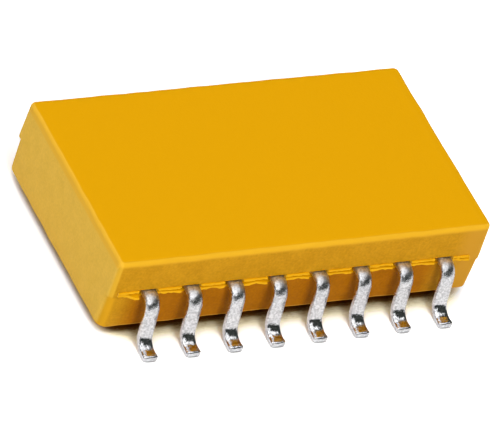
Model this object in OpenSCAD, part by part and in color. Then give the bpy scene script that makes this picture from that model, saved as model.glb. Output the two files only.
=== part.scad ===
// Surface-mount resistor network, medium body, with two rows of gull-wing leads.
// Thick-film resistors are printed across a ceramic plate. Each one bridges two opposite leads,
// which are lap-soldered to pads at the plate's long edges, and all of it is moulded into epoxy.
// Millimetres. The origin is the centre of the footprint on the board: +X runs along the rows
// of leads, +Z points up, and the feet stand on Z = 0.

/* [Lead rows] */
// Number of leads along each long side
leads_per_side = 8; // [4:1:10]
// Distance between neighbouring leads
lead_pitch = 1.27; // [1.1:0.01:1.6]
// Width of a lead outside the body
lead_width = 0.41; // [0.3:0.01:0.5]
// Thickness of the strip that the leads are stamped from
lead_thickness = 0.18; // [0.15:0.01:0.25]

/* [Lead forming] */
// Flat run from the body's wall to the first bend
shoulder_length = 0.05; // [0.02:0.01:0.4]
// Inside radius of the bend at the shoulder
shoulder_radius = 0.25; // [0.05:0.01:0.35]
// Lean of the leg away from the upright, in degrees
leg_lean = 8; // [0:0.5:15]
// Inside radius of the bend at the heel
heel_radius = 0.22; // [0.1:0.01:0.35]
// Flat length of the foot from the heel bend to the toe
foot_length = 0.3; // [0.2:0.01:0.8]

/* [Lead ends inside the body] */
// Width of the tab that lies on the ceramic
tab_width = 0.6; // [0.45:0.01:0.8]
// Length over which the tab laps the ceramic
tab_lap = 0.6; // [0.4:0.01:0.8]
// Depth behind the body's wall at which the tab narrows to the lead
tab_depth = 0.25; // [0.1:0.01:0.4]

/* [Moulded body] */
// Length of the body past the centre of the last lead at each end
end_margin = 1.145; // [1:0.005:1.6]
// Width of the body at its seam
body_width = 6.2; // [5:0.02:7]
// Height of the body above the leads
upper_height = 1.04; // [0.6:0.01:1.4]
// Height of the body below the leads
lower_height = 1.17; // [0.9:0.01:1.6]
// Gap between the board and the underside of the body
standoff = 0.2; // [0.1:0.01:0.3]
// Draft of the two long walls, in degrees
side_draft = 1.5; // [0.5:0.5:8]
// Draft of the two end walls, in degrees
end_draft = 1; // [0.5:0.5:8]
// Radius along the edges of the top and the underside
edge_radius = 0.12; // [0.06:0.01:0.2]
// Radius of the upright corners below the leads
lower_corner_radius = 0.25; // [0.15:0.01:0.6]
// Upright land of the lower mould half at the seam
seam_land = 0.05; // [0.02:0.01:0.1]

/* [Seam ridge and ejector marks] */
// Distance that the moulded web between the leads stands out of the wall
ridge_reach = 0.09; // [0.03:0.005:0.12]
// Height of the moulded web, measured up from the lead's lower face
ridge_height = 0.15; // [0.08:0.01:0.15]
// Distance from the end of the body to the end of the web
ridge_end_gap = 0.2; // [0.15:0.01:0.5]
// Diameter of the ejector marks in the underside
ejector_diameter = 1.2; // [0.8:0.05:1.8]
// Depth of the ejector marks
ejector_depth = 0.04; // [0.02:0.005:0.08]
// Distance between the two ejector marks
ejector_spacing = 6; // [4:0.1:7]

/* [Ceramic plate] */
// Thickness of the ceramic plate
plate_thickness = 0.5; // [0.3:0.01:0.6]
// Moulding between the plate and the long walls, measured at the seam
side_cover = 0.6; // [0.5:0.01:0.75]
// Moulding between the plate and the end walls, measured at the seam
end_cover = 0.5; // [0.35:0.01:0.6]

/* [Printed films] */
// Thickness of the printed conductor pads
pad_thickness = 0.02; // [0.01:0.005:0.03]
// Width of a conductor pad
pad_width = 0.72; // [0.65:0.01:0.85]
// Bare ceramic between a pad and the plate's edge
pad_edge_gap = 0.05; // [0.03:0.01:0.1]
// Thickness of the resistor films
film_thickness = 0.02; // [0.01:0.005:0.03]
// Width of a resistor film
film_width = 0.66; // [0.5:0.01:0.8]
// Length over which a resistor film laps each of its pads
film_lap = 0.15; // [0.08:0.01:0.25]
// Width of the slot that trims a resistor to value
trim_width = 0.05; // [0.03:0.01:0.08]
// Depth of the trim slot from the film's edge
trim_depth = 0.26; // [0.1:0.01:0.4]
// Thickness of the glass over the films
glaze_cover = 0.03; // [0.02:0.005:0.05]
// Distance that the glass runs past the films
glaze_margin = 0.07; // [0.04:0.01:0.12]

/* [Solder joints] */
// Thickness of the solder between pad and tab
solder_thickness = 0.03; // [0.02:0.005:0.05]
// Reach of the solder fillet in front of the tab
fillet_reach = 0.12; // [0.06:0.01:0.2]
// Gap between the solder fillet and the glass
fillet_gap = 0.1; // [0.05:0.01:0.2]

/* [Hidden] */
$fn = 64;
hull_fn = 32;
bend_steps = 16;

// Levels above the board
underside_z = standoff;
lead_bottom = underside_z + lower_height;
lead_top = lead_bottom + lead_thickness;
pad_top = lead_bottom - solder_thickness;
plate_top = pad_top - pad_thickness;
glaze_top = pad_top + film_thickness + glaze_cover;

// Places along the body
row_length = (leads_per_side - 1) * lead_pitch;
body_length = row_length + 2 * end_margin;
plate_length = body_length - 2 * end_cover;
glaze_length = row_length + max(pad_width, film_width) + 2 * glaze_margin;
function lead_x(i) = (i - 0.5) * lead_pitch - leads_per_side * lead_pitch / 2;

// Places across the body, measured from its middle
wall = body_width / 2;
plate_edge = wall - side_cover;
tab_end = plate_edge - tab_lap;
glaze_edge = tab_end - fillet_reach - fillet_gap;
film_end = glaze_edge - glaze_margin;
pad_inner = film_end - film_lap;
pad_outer = plate_edge - pad_edge_gap;

// Lead bends: radii on the middle of the strip, and the leg that joins the two bends
bend_angle = 90 - leg_lean;
shoulder_mid = shoulder_radius + lead_thickness / 2;
heel_mid = heel_radius + lead_thickness / 2;
bends_drop = (shoulder_mid + heel_mid) * (1 - cos(bend_angle));
leg_length = (lead_bottom - bends_drop) / sin(bend_angle);
shoulder_start = wall + shoulder_length;
bends_run = (shoulder_mid + heel_mid) * sin(bend_angle);
heel_end = shoulder_start + bends_run + leg_length * cos(bend_angle);

lead_count = 2 * leads_per_side;

// Leads are counted as pins are: along the near row, then back along the far row.
function pin_x(pin) = lead_x(pin <= leads_per_side ? pin : lead_count + 1 - pin);
function pin_is_far(pin) = pin > leads_per_side;

// Puts a child that was drawn for the far row at the place of one pin.
module at_pin(pin) {
    translate([pin_x(pin), 0, 0])
        mirror([0, pin_is_far(pin) ? 0 : 1, 0])
            children();
}

// Extrudes a section drawn as (distance from the middle, height) along the body's length.
module along_body(width) {
    rotate([90, 0, 90])
        linear_extrude(width, center = true)
            children();
}

// Points along one side of a bend.
function arc(centre, radius, from, to) = [
    for (k = [0:bend_steps])
        let (a = from + (to - from) * k / bend_steps)
            centre + radius * [cos(a), sin(a)]
];

// Side view of one lead: tab, shoulder, leg, heel and foot in one outline.
module lead_section() {
    shoulder_centre = [shoulder_start, lead_bottom - shoulder_radius];
    heel_centre = [heel_end, lead_thickness + heel_radius];
    toe = heel_end + foot_length;
    polygon(concat(
        [[tab_end, lead_top]],
        arc(shoulder_centre, shoulder_radius + lead_thickness, 90, 90 - bend_angle),
        arc(heel_centre, heel_radius, 270 - bend_angle, 270),
        [[toe, lead_thickness], [toe, 0]],
        arc(heel_centre, heel_radius + lead_thickness, 270, 270 - bend_angle),
        arc(shoulder_centre, shoulder_radius, 90 - bend_angle, 90),
        [[tab_end, lead_bottom]]
    ));
}

module lead(pin) {
    color("gainsboro")
        at_pin(pin) {
            along_body(lead_width)
                lead_section();
            along_body(tab_width)
                translate([tab_end, lead_bottom])
                    square([wall - tab_depth - tab_end, lead_thickness]);
        }
}

// Rounded corner of a mould half: a bead with the edge's radius, turned about the upright corner.
module corner_bead(corner_radius) {
    bead = min(edge_radius, corner_radius);
    rotate_extrude($fn = hull_fn)
        intersection() {
            translate([corner_radius - bead, 0])
                circle(bead, $fn = hull_fn);
            translate([0, -bead])
                square([corner_radius, 2 * bead]);
        }
}

// One half of the body from the seam upwards: upright land, drafted walls and a rounded face.
module mould_half(height, land, corner_radius) {
    bead = min(edge_radius, corner_radius);
    rise = height - bead;
    face_x = body_length / 2 - (rise - land) * tan(end_draft) - corner_radius;
    face_y = wall - (rise - land) * tan(side_draft) - corner_radius;
    hull()
        for (end = [-1, 1], side = [-1, 1]) {
            translate([end * (body_length / 2 - corner_radius), side * (wall - corner_radius), 0])
                cylinder(h = land, r = corner_radius, $fn = hull_fn);
            translate([end * face_x, side * face_y, rise])
                corner_bead(corner_radius);
        }
}

// Outside of the body, with the web that the mould leaves between the leads.
module body_outside() {
    translate([0, 0, lead_bottom]) {
        mould_half(lead_thickness + upper_height, lead_thickness, edge_radius);
        mirror([0, 0, 1])
            mould_half(lower_height, seam_land, lower_corner_radius);
        translate([0, 0, ridge_height / 2])
            cube([body_length - 2 * ridge_end_gap, body_width + 2 * ridge_reach, ridge_height], center = true);
    }
}

module ejector_marks() {
    for (end = [-1, 1])
        translate([end * ejector_spacing / 2, 0, underside_z - ejector_depth])
            cylinder(h = 2 * ejector_depth, d = ejector_diameter);
}

// The moulding encloses the plate, the films, the solder and the inner ends of the leads.
module moulded_body() {
    color("goldenrod")
        difference() {
            body_outside();
            ejector_marks();
            ceramic_plate();
            glaze_slab();
            solder_joints();
            for (pin = [1:lead_count]) {
                conductor_pad(pin);
                lead(pin);
            }
        }
}

module ceramic_plate() {
    color("whitesmoke")
        translate([0, 0, plate_top - plate_thickness / 2])
            cube([plate_length, 2 * plate_edge, plate_thickness], center = true);
}

module conductor_pad(pin) {
    color("silver")
        at_pin(pin)
            along_body(pad_width)
                translate([pad_inner, plate_top])
                    square([pad_outer - pad_inner, pad_thickness]);
}

// Side view of a resistor film: it lies on the ceramic and steps up onto its two pads.
module film_section() {
    step = pad_inner - film_thickness;
    translate([0, plate_top])
        polygon([
            [-pad_inner, 0],
            [pad_inner, 0],
            [pad_inner, pad_thickness],
            [film_end, pad_thickness],
            [film_end, pad_thickness + film_thickness],
            [step, pad_thickness + film_thickness],
            [step, film_thickness],
            [-step, film_thickness],
            [-step, pad_thickness + film_thickness],
            [-film_end, pad_thickness + film_thickness],
            [-film_end, pad_thickness],
            [-pad_inner, pad_thickness]
        ]);
}

module resistor_film(i) {
    color("dimgray")
        translate([lead_x(i), 0, 0])
            difference() {
                along_body(film_width)
                    film_section();
                translate([film_width / 2 - trim_depth / 2, 0, plate_top])
                    cube([trim_depth, trim_width, 2 * film_thickness + pad_thickness], center = true);
            }
}

// Full outline of the glass, with the films still inside it.
module glaze_slab() {
    translate([0, 0, (plate_top + glaze_top) / 2])
        cube([glaze_length, 2 * glaze_edge, glaze_top - plate_top], center = true);
}

module glass_overcoat() {
    color("darkgreen")
        difference() {
            glaze_slab();
            for (pin = [1:lead_count])
                conductor_pad(pin);
            for (i = [1:leads_per_side])
                resistor_film(i);
        }
}

// Side view of one joint: a layer under the tab and a fillet up the tab's end.
module solder_section() {
    translate([tab_end, pad_top])
        square([pad_outer - tab_end, solder_thickness]);
    polygon([
        [tab_end - fillet_reach, pad_top],
        [tab_end, pad_top],
        [tab_end, lead_bottom + lead_thickness / 2]
    ]);
}

module solder_joints() {
    color("lightgray")
        for (pin = [1:lead_count])
            at_pin(pin)
                along_body(tab_width)
                    solder_section();
}

moulded_body();
ceramic_plate();
glass_overcoat();
solder_joints();
for (pin = [1:lead_count]) {
    lead(pin);
    conductor_pad(pin);
}
for (i = [1:leads_per_side])
    resistor_film(i);
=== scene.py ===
"""Resistor network: golden moulded block with sixteen gull-wing leads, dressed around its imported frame."""
import bpy
import math
from mathutils import Matrix, Vector


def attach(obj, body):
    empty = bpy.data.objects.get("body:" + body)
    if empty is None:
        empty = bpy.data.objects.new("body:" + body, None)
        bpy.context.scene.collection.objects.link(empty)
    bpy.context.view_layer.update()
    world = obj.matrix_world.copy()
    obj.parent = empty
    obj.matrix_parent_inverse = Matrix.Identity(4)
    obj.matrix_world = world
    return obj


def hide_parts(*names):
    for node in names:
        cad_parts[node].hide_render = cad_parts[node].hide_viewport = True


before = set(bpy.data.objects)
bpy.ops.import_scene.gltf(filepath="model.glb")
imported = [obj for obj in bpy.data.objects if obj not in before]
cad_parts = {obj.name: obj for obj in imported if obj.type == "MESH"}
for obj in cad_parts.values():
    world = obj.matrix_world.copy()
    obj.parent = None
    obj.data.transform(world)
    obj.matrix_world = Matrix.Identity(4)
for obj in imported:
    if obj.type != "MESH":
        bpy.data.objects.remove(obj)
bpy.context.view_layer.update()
bpy.ops.object.select_all(action="DESELECT")


# Ceramic plate
# The real piece is a thin plate of fired alumina, scribed and snapped from a larger sheet.
# It carries the printed circuit, and the moulding holds it on all sides, so its CAD solid stays.
class Wire:
    """One socket in a material. A sum of wires and numbers adds its Math nodes."""

    def __init__(self, tree, socket):
        self.tree = tree
        self.socket = socket

    def node(self, kind, settings, sockets, out=0):
        """Adds a node: its settings first, then the values or links of its sockets."""
        made = self.tree.nodes.new("ShaderNode" + kind)
        for name, value in settings.items():
            if name == "stops":
                ramp = made.color_ramp.elements
                while len(ramp) < len(value):
                    ramp.new(1.0)
                for stop, (place, colour) in zip(ramp, value):
                    stop.position = place
                    stop.color = (*colour, 1.0)
            else:
                setattr(made, name, value)
        for name, value in sockets.items():
            if isinstance(value, Wire):
                self.tree.links.new(value.socket, made.inputs[name])
            else:
                made.inputs[name].default_value = value
        return Wire(self.tree, made.outputs[out])

    def math(self, operation, *terms):
        return self.node("Math", {"operation": operation}, dict(enumerate(terms)))

    def __add__(self, other):
        return self.math("ADD", self, other)

    def __radd__(self, other):
        return self.math("ADD", other, self)

    def __sub__(self, other):
        return self.math("SUBTRACT", self, other)

    def __rsub__(self, other):
        return self.math("SUBTRACT", other, self)

    def __mul__(self, other):
        return self.math("MULTIPLY", self, other)

    def __rmul__(self, other):
        return self.math("MULTIPLY", other, self)

    def noise(self, scale, detail=2.0):
        """Cloud noise between 0 and 1 on these coordinates."""
        return self.node("TexNoise", {}, {"Vector": self, "Scale": scale, "Detail": detail}, "Fac")

    def step(self, low, high):
        """Smooth step from 0 at low to 1 at high."""
        limits = {"Value": self, "From Min": low, "From Max": high}
        return self.node("MapRange", {"interpolation_type": "SMOOTHSTEP"}, limits)

    def blend(self, first, second):
        """Colour that goes from first to second as this wire goes from 0 to 1."""
        mixed = {"Factor": self, 6: first, 7: second}
        return self.node("Mix", {"data_type": "RGBA"}, mixed, 2)


MM = 0.001


def start_finish(slot, constants):
    """Starts the material of one record slot, and gives its shader and its coordinates in millimetres."""
    material = bpy.data.materials.new(slot)
    material.use_nodes = True
    tree = material.node_tree
    shader = tree.nodes["Principled BSDF"]
    for name, value in constants.items():
        shader.inputs[name].default_value = value
    places = tree.nodes.new("ShaderNodeTexCoord")
    metres = Wire(tree, places.outputs["Object"])
    millimetres = metres.node("VectorMath", {"operation": "SCALE"}, {0: metres, "Scale": 1 / MM})
    return material, shader, millimetres


def feed(shader, name, wire):
    wire.tree.links.new(wire.socket, shader.inputs[name])


def feed_bump(shader, height, depth_mm):
    """Lets a height between 0 and 1 press the surface in by up to this depth."""
    feed(shader, "Normal", height.node("Bump", {}, {"Height": height, "Distance": depth_mm * MM}))


def dress_node(node, material):
    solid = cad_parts[node]
    solid.data.materials.clear()
    solid.data.materials.append(material)


alumina, shader, place = start_finish("alumina", {"Roughness": 0.55})
grain = place.noise(30, 3)
specks = place.noise(9).step(0.62, 0.7)
feed(shader, "Base Color", specks.blend((0.86, 0.86, 0.83, 1), (0.74, 0.73, 0.69, 1)))
feed(shader, "Roughness", 0.48 + 0.16 * grain)
feed_bump(shader, grain, 0.004)
dress_node("ceramic_plate", alumina)


# Conductor pads
# Sixteen pads of silver-palladium ink, printed along the plate's long edges and fired.
# They are the grainy metal films that the leads are soldered to.
PINS = 16
film_conductor, shader, place = start_finish("film_conductor", {"Metallic": 1.0})
grain = place.noise(40, 3)
feed(shader, "Base Color", grain.blend((0.52, 0.51, 0.48, 1), (0.70, 0.69, 0.66, 1)))
feed(shader, "Roughness", 0.38 + 0.2 * grain)
feed_bump(shader, grain, 0.003)
for pin in range(1, PINS + 1):
    dress_node(f"conductor_pad_{pin}", film_conductor)


# Resistor films
# Eight prints of dark resistor ink, fired across the plate from pad to pad.
# The print's mesh leaves a faint weave, and a laser slot trims each to its value.
resistor_film, shader, place = start_finish("resistor_film", {})
cloud = place.noise(14, 4)
weave = place.node("TexWave", {"bands_direction": "DIAGONAL"},
                   {"Vector": place, "Scale": 8, "Distortion": 2}, "Fac")
feed(shader, "Base Color", cloud.blend((0.018, 0.018, 0.021, 1), (0.055, 0.053, 0.055, 1)))
feed(shader, "Roughness", 0.42 + 0.2 * cloud)
feed_bump(shader, weave, 0.002)
for film in range(1, PINS // 2 + 1):
    dress_node(f"resistor_film_{film}", resistor_film)


# Glass overcoat
# Green glass, printed over the resistors and fired, so that it flows out smooth and glossy.
# It seals the films before the moulding is shot around them.
overcoat_glass, shader, place = start_finish("overcoat_glass", {"Coat Weight": 0.6, "Coat Roughness": 0.08})
flow = place.noise(3, 2)
bubbles = place.noise(26).step(0.66, 0.72)
feed(shader, "Base Color", flow.blend((0.022, 0.12, 0.06, 1), (0.04, 0.2, 0.1, 1)))
feed(shader, "Roughness", 0.16 + 0.25 * bubbles)
feed_bump(shader, flow, 0.006)
dress_node("glass_overcoat", overcoat_glass)


# Solder joints
# Reflowed solder under each tab, drawn up its end into a small fillet.
# It cooled in coarse grains, so its grey is a little patchy.
solder, shader, place = start_finish("solder", {"Metallic": 1.0})
crystals = place.node("TexVoronoi", {}, {"Vector": place, "Scale": 12}, "Distance")
feed(shader, "Base Color", crystals.blend((0.72, 0.72, 0.72, 1), (0.56, 0.56, 0.57, 1)))
feed(shader, "Roughness", 0.24 + 0.3 * crystals)
feed_bump(shader, crystals, 0.004)
dress_node("solder_joints", solder)


# Leads
# Sixteen strips of tinned copper alloy, stamped in one comb and moulded in by their wide tabs.
# Each is bent down at the shoulder and out again at the heel, and stands on its foot.
LEAD_PITCH = 1.27
LEAD_WIDTH = 0.41
LEAD_THICKNESS = 0.18
TAB_WIDTH = 0.6
TAB_START = 1.9
TAB_END = 2.85
BODY_WIDTH = 6.2
SHOULDER_LENGTH = 0.05
SHOULDER_START = BODY_WIDTH / 2 + SHOULDER_LENGTH
SHOULDER_RADIUS = 0.25
HEEL_RADIUS = 0.33
LEG_LEAN = math.radians(8)
TOE = 4.2068
LEAD_BOTTOM = 1.37
TOE_EDGE = 0.012
TOE_SPREAD = 1.1
BEND_STEPS = 12
CROWN_PERCENT = 28
CROWN_SEGMENTS = 6
TOE_SEGMENTS = 2
FOLD_ANGLE = math.radians(50)
SMOOTH_ANGLE = math.radians(40)
AXIS_MATCH = 0.9

bend_angle = math.pi / 2 - LEG_LEAN
bend_middles = SHOULDER_RADIUS + HEEL_RADIUS + LEAD_THICKNESS
leg_length = (LEAD_BOTTOM - bend_middles * (1 - math.cos(bend_angle))) / math.sin(bend_angle)
heel_end = SHOULDER_START + bend_middles * math.sin(bend_angle) + leg_length * math.cos(bend_angle)
short_of_toe = TOE - 0.001


def add_block(name, low, high):
    """Adds a box between two corners, in millimetres, and stays in edit mode with nothing selected."""
    bpy.ops.mesh.primitive_cube_add(size=1)
    block = bpy.context.object
    block.name = name
    block.scale = [b - a for a, b in zip(low, high)]
    block.location = [(a + b) / 2 for a, b in zip(low, high)]
    bpy.ops.object.transform_apply(location=True, rotation=False, scale=True)
    bpy.ops.object.mode_set(mode="EDIT")
    bpy.ops.mesh.select_all(action="DESELECT")
    return block


def select_faces(piece, wanted):
    """Selects the faces for which wanted(centre, normal) holds, in edit mode."""
    bpy.ops.mesh.select_mode(type="FACE")
    bpy.ops.mesh.select_all(action="DESELECT")
    bpy.ops.object.mode_set(mode="OBJECT")
    for face in piece.data.polygons:
        face.select = wanted(face.center, face.normal)
    bpy.ops.object.mode_set(mode="EDIT")


def select_edges(piece, wanted):
    """Selects the edges for which wanted(first end, second end) holds, in edit mode."""
    bpy.ops.mesh.select_mode(type="EDGE")
    bpy.ops.mesh.select_all(action="DESELECT")
    bpy.ops.object.mode_set(mode="OBJECT")
    points = piece.data.vertices
    for edge in piece.data.edges:
        edge.select = wanted(points[edge.vertices[0]].co, points[edge.vertices[1]].co)
    bpy.ops.object.mode_set(mode="EDIT")


def keep_edges(piece, wanted):
    """Leaves only those of the selected edges for which wanted(first end, second end) holds."""
    bpy.ops.object.mode_set(mode="OBJECT")
    points = piece.data.vertices
    for edge in piece.data.edges:
        edge.select = edge.select and wanted(points[edge.vertices[0]].co, points[edge.vertices[1]].co)
    bpy.ops.object.mode_set(mode="EDIT")


def extrude(step):
    """Draws the selected face out by one step."""
    bpy.ops.mesh.extrude_region_move(TRANSFORM_OT_translate={"value": step})


def close_piece(piece):
    """Turns the faces outwards, smooths the shading and takes the piece from millimetres to metres."""
    bpy.ops.object.mode_set(mode="EDIT")
    bpy.ops.mesh.select_all(action="SELECT")
    bpy.ops.mesh.normals_make_consistent(inside=False)
    bpy.ops.object.mode_set(mode="OBJECT")
    bpy.ops.object.shade_smooth_by_angle(angle=SMOOTH_ANGLE)
    piece.scale = (MM, MM, MM)
    bpy.ops.object.transform_apply(location=True, rotation=True, scale=True)


half_tab = TAB_WIDTH / 2
lead_top = LEAD_BOTTOM + LEAD_THICKNESS
lead = add_block("lead_pattern", (-half_tab, TAB_START, LEAD_BOTTOM), (half_tab, TAB_END, lead_top))
select_faces(lead, lambda centre, normal: normal.y > AXIS_MATCH)
extrude((0, 0, 0))
bpy.ops.transform.resize(value=(LEAD_WIDTH / TAB_WIDTH, 1, 1))
extrude((0, SHOULDER_START - TAB_END, 0))
shoulder_centre = (0, SHOULDER_START, LEAD_BOTTOM - SHOULDER_RADIUS)
bpy.ops.mesh.spin(steps=BEND_STEPS, angle=bend_angle, center=shoulder_centre, axis=(1, 0, 0))
extrude((0, leg_length * math.cos(bend_angle), -leg_length * math.sin(bend_angle)))
heel_centre = (0, heel_end, LEAD_THICKNESS + HEEL_RADIUS)
bpy.ops.mesh.spin(steps=BEND_STEPS, angle=bend_angle, center=heel_centre, axis=(-1, 0, 0))
extrude((0, TOE - heel_end, 0))
bpy.ops.transform.resize(value=(TOE_SPREAD, 1, 1))
bpy.ops.mesh.select_mode(type="EDGE")
bpy.ops.mesh.select_all(action="DESELECT")
bpy.ops.mesh.edges_select_sharp(sharpness=FOLD_ANGLE)
keep_edges(lead, lambda first, second: min(first.y, second.y) < short_of_toe)
bpy.ops.mesh.bevel(offset_type="PERCENT", offset_pct=CROWN_PERCENT, segments=CROWN_SEGMENTS, affect="EDGES")
select_faces(lead, lambda centre, normal: centre.y > short_of_toe)
bpy.ops.mesh.region_to_loop()
bpy.ops.mesh.bevel(offset=TOE_EDGE, segments=TOE_SEGMENTS, affect="EDGES")
close_piece(lead)

# Bright tin with small dull patches. The forming tools dulled the legs and the exits, and pressed
# a slight crown into the strip at its two bends, which shows in what the tin mirrors.
DULL_TIN = (0.50, 0.50, 0.52, 1)
BRIGHT_TIN = (0.84, 0.84, 0.86, 1)
SHOULDER_CROWN = 1.6
HEEL_CROWN = 0.45
tin_plating, shader, place = start_finish("tin_plating", {"Metallic": 1.0})
height = place.node("SeparateXYZ", {}, {0: place}, "Z")
ripple = place.noise(3.5, 2)
pits = place.noise(18, 3)
on_leg = height.step(0.45, 0.9)
at_exit = height.step(1.4, 1.54)
on_shoulder = height.step(0.7, 1.1)
on_heel = height.step(0.2, 0.28) - height.step(0.42, 0.62)
feed(shader, "Base Color", pits.step(0.3, 0.7).blend(DULL_TIN, BRIGHT_TIN))
feed(shader, "Roughness", 0.08 + 0.10 * pits + 0.12 * on_leg + 0.2 * at_exit)
columns = place.node("SeparateXYZ", {}, {0: place}, "X") * (1 / LEAD_PITCH)
off_centre = (columns.math("FRACT", columns) - 0.5) * (2 * LEAD_PITCH / LEAD_WIDTH)
crown = (1 - off_centre * off_centre) * (on_shoulder * SHOULDER_CROWN + on_heel * HEEL_CROWN)
feed_bump(shader, ripple * 0.75 + pits * 0.25 + crown, 0.03)
lead.data.materials.append(tin_plating)

for pin in range(1, PINS + 1):
    far = pin > PINS // 2
    column = PINS + 1 - pin if far else pin
    column_x = (column - (PINS / 2 + 1) / 2) * LEAD_PITCH * MM
    turn = Matrix.Rotation(0 if far else math.pi, 4, "Z")
    strip = lead.copy()
    strip.data = lead.data.copy()
    strip.name = f"formed_lead_{pin}"
    strip.data.transform(Matrix.Translation((column_x, 0, 0)) @ turn)
    bpy.context.collection.objects.link(strip)
    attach(strip, "root")
    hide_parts(f"lead_{pin}")
bpy.data.objects.remove(lead)


# Moulded body
# One block of golden filled epoxy, shot around the plate and tabs in a mould of two halves.
# The halves meet at the leads, where a thin ragged web of moulding is left between them.
BODY_LENGTH = 11.18
BODY_TOP = 2.59
BODY_UNDERSIDE = 0.2
SIDE_DRAFT = math.radians(1.5)
END_DRAFT = math.radians(1)
EDGE_RADIUS = 0.12
LEFT_AND_RIGHT = (-1, 1)
UPPER_CORNERS = (0.16, 0.16)
LOWER_CORNERS = (0.28, 0.17)
CORNER_SEGMENTS = 8
CORNER_ZONE = (5.4, 2.9)
LOWER_SETBACK = 0.015
SEAM_LAND = 0.05
SEAM_LAP = 0.03
EDGE_WOBBLE = 0.02
CUTS_ALONG = 31
CUTS_ACROSS = 17
LEVEL_MATCH = 0.01
MERGE_DISTANCE = 0.0005


def is_along(axis):
    """Picks the edges that run along one axis, or nearly."""
    return lambda first, second: abs(first[axis] - second[axis]) > AXIS_MATCH * (first - second).length


def add_half(name, length, width, seam, land, face):
    """Adds one mould half: upright land at the seam, then drafted walls up or down to its face."""
    low = (-length / 2, -width / 2, min(seam, face))
    high = (length / 2, width / 2, max(seam, face))
    half = add_block(name, low, high)
    select_edges(half, is_along(0))
    bpy.ops.mesh.subdivide(number_cuts=CUTS_ALONG)
    select_edges(half, is_along(1))
    bpy.ops.mesh.subdivide(number_cuts=CUTS_ACROSS)
    bpy.ops.mesh.select_all(action="SELECT")
    bpy.ops.mesh.bisect(plane_co=(0, 0, land), plane_no=(0, 0, 1), threshold=0.00001)
    select_faces(half, lambda centre, normal: abs(centre.z - face) < LEVEL_MATCH)
    rise = abs(face - land)
    shorter = 1 - 2 * rise * math.tan(END_DRAFT) / length
    narrower = 1 - 2 * rise * math.tan(SIDE_DRAFT) / width
    bpy.ops.transform.resize(value=(shorter, narrower, 1), center_override=(0, 0, face))
    return half


def select_rim(half, face):
    """Selects the edges around the outside of a half's flat face."""
    select_faces(half, lambda centre, normal: abs(normal.z) > AXIS_MATCH
                 and abs(centre.z - face) < LEVEL_MATCH)
    bpy.ops.mesh.region_to_loop()


def round_half(half, face, corners, segments):
    """Lets a half's rim wander a little in its plane, then rounds its upright corners and the rim."""
    upright = is_along(2)
    select_rim(half, face)
    bpy.ops.transform.vertex_random(offset=EDGE_WOBBLE, seed=3)
    bpy.ops.transform.resize(value=(1, 1, 0), center_override=(0, 0, face))
    for end, corner in zip(LEFT_AND_RIGHT, corners):
        select_edges(half, lambda first, second: upright(first, second)
                     and end * first.x > CORNER_ZONE[0] and abs(first.y) > CORNER_ZONE[1])
        bpy.ops.mesh.bevel(offset=corner, segments=CORNER_SEGMENTS, affect="EDGES")
    select_rim(half, face)
    bpy.ops.mesh.bevel(offset=EDGE_RADIUS, segments=segments, affect="EDGES")
    bpy.ops.object.mode_set(mode="OBJECT")


upper = add_half("upper_half", BODY_LENGTH, BODY_WIDTH, LEAD_BOTTOM, lead_top, BODY_TOP)
round_half(upper, BODY_TOP, UPPER_CORNERS, 6)
lower = add_half("lower_half", BODY_LENGTH - 2 * LOWER_SETBACK, BODY_WIDTH - 2 * LOWER_SETBACK,
                 LEAD_BOTTOM + SEAM_LAP, LEAD_BOTTOM - SEAM_LAND, BODY_UNDERSIDE)
round_half(lower, BODY_UNDERSIDE, LOWER_CORNERS, 4)


def combine(piece, other, operation):
    """Joins or cuts one closed piece with another, and removes the other."""
    bpy.ops.object.select_all(action="DESELECT")
    piece.select_set(True)
    bpy.context.view_layer.objects.active = piece
    cutter = piece.modifiers.new("combine", "BOOLEAN")
    cutter.operation = operation
    cutter.solver = "EXACT"
    cutter.object = other
    bpy.ops.object.modifier_apply(modifier=cutter.name)
    bpy.ops.object.mode_set(mode="EDIT")
    bpy.ops.mesh.select_all(action="SELECT")
    bpy.ops.mesh.remove_doubles(threshold=MERGE_DISTANCE)
    bpy.ops.mesh.dissolve_degenerate(threshold=MERGE_DISTANCE)
    bpy.ops.object.mode_set(mode="OBJECT")
    bpy.data.objects.remove(other)


body = upper
body.name = "moulding"
combine(body, lower, "UNION")

# Where each lead comes out, the mould leaves a slot in the wall, a little larger than the strip.
SLOT_LEFT = 0.11
SLOT_RIGHT = 0.025
SLOT_ABOVE = 0.03
SLOT_FLOOR = 0.01
SLOT_DEPTH = 0.16
OVERRUN = 0.1
WALL = BODY_WIDTH / 2
row_end = (PINS / 4 - 0.5) * LEAD_PITCH


def gather(name, pieces):
    """Makes one object of many on the near side, and a second one turned round for the far side."""
    bpy.ops.object.select_all(action="DESELECT")
    for piece in pieces:
        piece.select_set(True)
    bpy.context.view_layer.objects.active = pieces[0]
    bpy.ops.object.join()
    near = pieces[0]
    near.name = name
    far = near.copy()
    far.data = near.data.copy()
    far.data.transform(Matrix.Rotation(math.pi, 4, "Z"))
    bpy.context.collection.objects.link(far)
    return near, far


slots = []
for column in range(PINS // 2):
    middle = -row_end + column * LEAD_PITCH
    low = (middle - LEAD_WIDTH / 2 - SLOT_LEFT, -WALL - OVERRUN, LEAD_BOTTOM + SLOT_FLOOR)
    high = (middle + LEAD_WIDTH / 2 + SLOT_RIGHT, -WALL + SLOT_DEPTH, lead_top + SLOT_ABOVE)
    slots.append(add_block("slot", low, high))
    bpy.ops.object.mode_set(mode="OBJECT")
for slot in gather("slots", slots):
    combine(body, slot, "DIFFERENCE")

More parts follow.
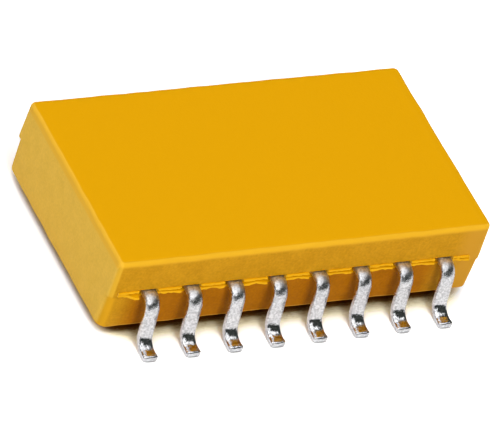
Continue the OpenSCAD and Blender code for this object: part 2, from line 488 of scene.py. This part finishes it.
# The web runs from lead to lead as a ragged band under a thin lip, with a dark crack between them.
# The band swells into a tooth beside most leads, and at the left end it thins out towards the corner.
BAND_REACH = 0.065
BAND_LEVELS = (LEAD_BOTTOM + 0.075, LEAD_BOTTOM + 0.115)
BAND_CUTS = 8
LIP_REACH = 0.05
LIP_LEVELS = (lead_top - 0.015, lead_top + 0.025)
LIP_CUTS = 10
CRACK_LEVELS = (LEAD_BOTTOM + 0.12, lead_top - 0.04)
CRACK_DEPTH = 0.06
WEB_ROOT = 0.12
WEB_DRAWN_BACK = 0.4
WEB_WANDER = 0.016
WEB_START = -BODY_LENGTH / 2 + 0.22
WEB_END = BODY_LENGTH / 2 - 0.4
GAP_AFTER_LEAD = 0.04
GAP_BEFORE_LEAD = 0.125
TOOTH_SPAN = 0.13
TOOTH_DROOP = 0.35
TOOTH_FADE = 0.3
TEETH = ((-0.02, 0.1), (0.0, 0.03), (0.02, 0.03), (0.05, 0.06), (0.02, 0.04), (0.01, 0.03), (0.02, 0.03),
         (0.0, 0.03), (-0.02, 0.02))


def swell(strip, end_x, size):
    """Draws the front of a strip out, or in, at one end, and fades along the strip."""
    select_edges(strip, lambda first, second: max(first.y, second.y) < -WALL
                 and max(abs(first.x - end_x), abs(second.x - end_x)) < TOOTH_SPAN)
    bpy.ops.transform.translate(value=(0, -size, -TOOTH_DROOP * size), use_proportional_edit=True,
                                proportional_edit_falloff="SMOOTH", proportional_size=TOOTH_FADE)


def add_strip(ends, levels, reach, cuts):
    """Adds a strip of moulding along the near wall, with its upper edge drawn back."""
    strip = add_block("web", (ends[0], -WALL - reach, levels[0]), (ends[1], -WALL + WEB_ROOT, levels[1]))
    select_edges(strip, is_along(0))
    bpy.ops.mesh.subdivide(number_cuts=cuts)
    select_edges(strip, lambda first, second: max(first.y, second.y) < -WALL
                 and min(first.z, second.z) > levels[1] - LEVEL_MATCH)
    bpy.ops.transform.translate(value=(0, reach * WEB_DRAWN_BACK, 0))
    return strip


def fray(strip, seed):
    """Lets the front of a strip wander in and out, which leaves it ragged."""
    select_edges(strip, lambda first, second: max(first.y, second.y) < -WALL)
    bpy.ops.transform.vertex_random(offset=WEB_WANDER, normal=1, seed=seed)
    bpy.ops.object.mode_set(mode="OBJECT")


cracks = []
bands = []
lips = []
for gap, (first_tooth, last_tooth) in enumerate(TEETH):
    last_lead = -row_end + (gap - 1) * LEAD_PITCH
    next_lead = -row_end + gap * LEAD_PITCH
    first_x = WEB_START if gap == 0 else last_lead + LEAD_WIDTH / 2 + GAP_AFTER_LEAD
    last_x = WEB_END if gap == PINS // 2 else next_lead - LEAD_WIDTH / 2 - GAP_BEFORE_LEAD
    ends = (first_x, last_x)
    low = (first_x, -WALL - OVERRUN, CRACK_LEVELS[0])
    high = (last_x, -WALL + CRACK_DEPTH, CRACK_LEVELS[1])
    cracks.append(add_block("crack", low, high))
    bpy.ops.object.mode_set(mode="OBJECT")
    band = add_strip(ends, BAND_LEVELS, BAND_REACH, BAND_CUTS)
    swell(band, first_x, first_tooth)
    swell(band, last_x, last_tooth)
    fray(band, gap * 2 + 1)
    bands.append(band)
    lip = add_strip(ends, LIP_LEVELS, LIP_REACH, LIP_CUTS)
    fray(lip, gap * 2 + 2)
    lips.append(lip)
for crack in gather("cracks", cracks):
    combine(body, crack, "DIFFERENCE")
for strips in gather("bands", bands) + gather("lips", lips):
    combine(body, strips, "UNION")

# Two round marks in the underside are left by the pins that push the part out of the mould.
MARK_RADIUS = 0.6
MARK_HEIGHT = 0.08
MARK_X = 3
for side in LEFT_AND_RIGHT:
    bpy.ops.mesh.primitive_cylinder_add(vertices=48, radius=MARK_RADIUS, depth=MARK_HEIGHT,
                                        location=(MARK_X * side, 0, BODY_UNDERSIDE))
    pin_mark = bpy.context.object
    bpy.ops.object.transform_apply(location=True, rotation=False, scale=False)
    combine(body, pin_mark, "DIFFERENCE")
close_piece(body)

# Matt golden epoxy with a fine grain and a random mottle. Most other colour changes are painted light and
# shade: the walls take a darker copy of the top's gold, the wall below the seam is painted darker still
# between the leads, and the ends, rims, corners, web and bottom rims are painted paler as sheen, highlights
# and a floor reflection.
TOP_GOLD = (0.745, 0.355, 0.001, 1)
RIGHT_END_PAINTED_LIGHT = (0.58, 0.275, 0.018, 1)
WEB_PAINTED_HIGHLIGHT = (0.74, 0.37, 0.008, 1)
FLOOR_REFLECTION_GOLD = (0.70, 0.33, 0.020, 1)
PAINTED_SHADE_SHIFT = 0.35
moulding_compound, shader, place = start_finish("moulding_compound", {"Specular IOR Level": 0.06})
facing = place.node("NewGeometry", {}, {}, "Normal")
facing_x = facing.node("SeparateXYZ", {}, {0: facing}, "X")
facing_z = facing.node("SeparateXYZ", {}, {0: facing}, "Z")
sideways = facing_x.math("ABSOLUTE", facing_x)
along = place.node("SeparateXYZ", {}, {0: place}, "X") + PAINTED_SHADE_SHIFT
depth = place.node("SeparateXYZ", {}, {0: place}, "Y")
height = place.node("SeparateXYZ", {}, {0: place}, "Z")
grain = place.noise(14, 3)
cloud = place.noise(2.5, 3)
mottle = (grain * 0.6 + cloud * 0.4).step(0.25, 0.75)
below = 1 - height.step(LEAD_BOTTOM, LEAD_BOTTOM + 0.06)
on_top = facing_z.step(0.9, 0.99)
on_end = sideways.step(0.8, 0.99)
on_corner = sideways.step(0.15, 0.5) - on_end
on_rim = (1 - on_top) * (height + 0.1 * on_end).step(BODY_TOP - 0.2, BODY_TOP - 0.08)
# Downward-facing rims below the seam, painted paler as a reflection of the white floor.
facing_floor = below * (1 - facing_z.step(-0.6, -0.05))
on_web = depth.math("ABSOLUTE", depth).step(WALL + 0.01, WALL + 0.03)
past_painted_lead_shade = along.math("ABSOLUTE", along).step(4.2, 4.95)
# Painted shade: the walls take a darker copy of the top's gold, with the mottle over it.
shaded_wall_gold = mottle.blend((0.455, 0.208, 0.003, 1), (0.61, 0.293, 0.009, 1))
# Painted light: right of the last lead the wall turns paler, where no lead shades it.
shaded_wall_gold = along.step(4.9, 5.5).blend(shaded_wall_gold, RIGHT_END_PAINTED_LIGHT)
# Painted shade: below the seam the wall is darker and more orange between the leads, as if they shaded it,
# and turns back to the wall's gold past the end leads.
lower_painted_shade = mottle.blend((0.335, 0.11, 0.0, 1), (0.46, 0.157, 0.001, 1))
# Painted sheen: the end faces are paler and whiter than the walls, as lit from the left.
end_painted_sheen = mottle.blend((0.75, 0.45, 0.052, 1), (0.85, 0.52, 0.070, 1))
lower_painted_shade = past_painted_lead_shade.blend(lower_painted_shade, shaded_wall_gold)
skin = below.blend(shaded_wall_gold, lower_painted_shade)
# Painted highlight: the web's band is lighter than the wall, where its top catches the light.
skin = on_web.blend(skin, WEB_PAINTED_HIGHLIGHT)
skin = facing_floor.blend(skin, FLOOR_REFLECTION_GOLD)
# Painted light: the upright corners grade from the end's sheen into the wall, paler above the seam and
# darker below it.
corner_painted_light = below.blend((0.70, 0.38, 0.024, 1), (0.65, 0.32, 0.008, 1))
# Painted highlight: the rounded top rims are lighter, paler still towards the ends.
rim_painted_highlight = sideways.step(0.15, 0.5).blend((0.74, 0.39, 0.016, 1), (0.82, 0.45, 0.034, 1))
skin = on_corner.blend(skin, corner_painted_light)
skin = on_end.blend(skin, end_painted_sheen)
skin = on_rim.blend(skin, rim_painted_highlight)
feed(shader, "Base Color", on_top.blend(skin, TOP_GOLD))
feed(shader, "Roughness", 0.5 + 0.2 * grain)
feed_bump(shader, grain, 0.006)
body.data.materials.append(moulding_compound)
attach(body, "root")
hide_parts("moulded_body")


# Floor and light
# The part stands on a plain white sheet, under soft lamps in a dark room.
# The sheet reads as white to the camera and in the tin, and keeps the part's shadow; for the camera a
# painted contact shadow from the occlusion near the part darkens it further.
SHEET_SIZE = 2.0
SHEET_TO_CAMERA = 1.5
SHEET_IN_TIN = 0.1
bpy.ops.mesh.primitive_plane_add(size=SHEET_SIZE)
floor = bpy.context.object
floor.name = "white_sheet"
sheet = bpy.data.materials.new("white_sheet")
sheet.use_nodes = True
tree = sheet.node_tree
shader = tree.nodes["Principled BSDF"]
shader.inputs["Roughness"].default_value = 0.9
shader.inputs["Specular IOR Level"].default_value = 0.0
shader.inputs["Emission Color"].default_value = (1, 1, 1, 1)
rays = tree.nodes.new("ShaderNodeLightPath")
camera_ray = Wire(tree, rays.outputs["Is Camera Ray"])
glossy_ray = Wire(tree, rays.outputs["Is Glossy Ray"])
clear_ray = Wire(tree, rays.outputs["Is Transmission Ray"])
towards_light = camera_ray.node("CombineXYZ", {}, {"X": -0.3, "Y": 0.3, "Z": 0.9})
open_air = camera_ray.node("AmbientOcclusion", {"samples": 16},
                           {"Distance": MM, "Normal": towards_light}, "AO")

# For the camera the sheet's colour is a painted contact shadow, taken from the occlusion close to the part:
# golden along its walls, grey at the feet and bluish grey at the ends.
golden_steps = ((0.0, (0.02, 0.005, 0.0)), (0.35, (0.04, 0.014, 0.001)), (0.42, (0.13, 0.09, 0.03)),
                (0.48, (0.55, 0.54, 0.34)), (0.54, (0.90, 0.94, 0.76)), (0.64, (1.0, 1.0, 1.0)))
grey_steps = ((0.0, (0.05, 0.05, 0.05)), (0.35, (0.3, 0.29, 0.28)), (0.45, (0.6, 0.6, 0.6)),
              (0.55, (0.9, 0.9, 0.9)), (0.6, (1.0, 1.0, 1.0)))
end_steps = ((0.0, (0.1, 0.05, 0.02)), (0.36, (0.55, 0.50, 0.34)), (0.46, (0.55, 0.56, 0.53)),
             (0.56, (0.64, 0.69, 0.77)), (0.70, (0.90, 0.95, 1.0)), (0.78, (1.0, 1.0, 1.0)))
golden_shade = open_air.node("ValToRGB", {"stops": golden_steps}, {"Fac": open_air})
grey_shade = open_air.node("ValToRGB", {"stops": grey_steps}, {"Fac": open_air})
end_shade = open_air.node("ValToRGB", {"stops": end_steps}, {"Fac": open_air})
places = tree.nodes.new("ShaderNodeTexCoord")
metres = Wire(tree, places.outputs["Object"])
across = metres.node("SeparateXYZ", {}, {0: metres}, "Y")
by_feet = across.math("ABSOLUTE", across).step(3.4 * MM, 3.8 * MM)
along = metres.node("SeparateXYZ", {}, {0: metres}, "X")
by_end = along.math("ABSOLUTE", along).step(5.0 * MM, 5.5 * MM)
shade = by_end.blend(by_feet.blend(golden_shade, grey_shade), end_shade)
painted_shadow_sheet = shade.node("VectorMath", {"operation": "SCALE"}, {0: shade, "Scale": SHEET_TO_CAMERA})
feed(shader, "Base Color", camera_ray.blend((0.9, 0.9, 0.9, 1), painted_shadow_sheet))
feed(shader, "Emission Strength", (glossy_ray + clear_ray) * SHEET_IN_TIN)
floor.data.materials.append(sheet)

# The room is dark, which gives the tin its dark bands, with a faint glow on the left.
world = bpy.data.worlds.new("dark_room")
bpy.context.scene.world = world
world.use_nodes = True
tree = world.node_tree
background = tree.nodes["Background"]
places = tree.nodes.new("ShaderNodeTexCoord")
direction = Wire(tree, places.outputs["Generated"])
height = direction.node("SeparateXYZ", {}, {0: direction}, "Z")
across = direction.node("SeparateXYZ", {}, {0: direction}, "X")
left_wall = (0 - across).step(0.3, 0.8) * (1 - height.step(0.3, 0.75))
room = left_wall.blend((0.05, 0.055, 0.05, 1), (0.12, 0.12, 0.125, 1))
rays = tree.nodes.new("ShaderNodeLightPath")
seen = Wire(tree, rays.outputs["Is Camera Ray"])
feed(background, "Color", seen.blend(room, (1, 1, 1, 1)))


def add_lamp(name, place_mm, size_mm, watts, mirrored):
    """Adds a soft lamp that looks at the part, and may show in the tin or not."""
    lamp = bpy.data.lights.new(name, "AREA")
    lamp.shape = "RECTANGLE"
    lamp.size = size_mm[0] * MM
    lamp.size_y = size_mm[1] * MM
    lamp.energy = watts
    holder = bpy.data.objects.new(name, lamp)
    holder.location = Vector(place_mm) * MM
    holder.rotation_euler = Vector(place_mm).to_track_quat("Z", "Y").to_euler()
    holder.visible_glossy = mirrored
    bpy.context.collection.objects.link(holder)


# A wide lamp overhead, and a strip lamp on the left that lights the strips' left edges. The front and
# back lamps fill in the walls and don't show in the tin.
add_lamp("ceiling_lamp", (-60, -60, 300), (520, 520), 1.17, True)
add_lamp("front_lamp", (-34, -243, 172), (130, 130), 0.47, False)
add_lamp("back_lamp", (40, 287, 78), (130, 130), 0.3, False)
add_lamp("left_strip_lamp", (-225, -130, 150), (60, 250), 0.08, True)


# Camera
# A long lens, above the near left corner of the part and about 200 mm away.
# It is held a little tilted, as the photograph is.
CAMERA_PLACE = (-0.0954495, -0.1183185, 0.1294594)
CAMERA_TURN = (47.6526, -16.3169, -24.6181)
LENS_LENGTH = 541.371
SENSOR_WIDTH = 36
NEAREST = 0.01
bpy.ops.object.camera_add(location=CAMERA_PLACE)
camera = bpy.context.object
camera.rotation_euler = [math.radians(angle) for angle in CAMERA_TURN]
camera.data.lens = LENS_LENGTH
camera.data.sensor_width = SENSOR_WIDTH
camera.data.clip_start = NEAREST
bpy.context.scene.camera = camera
bpy.context.scene.view_settings.view_transform = "Standard"
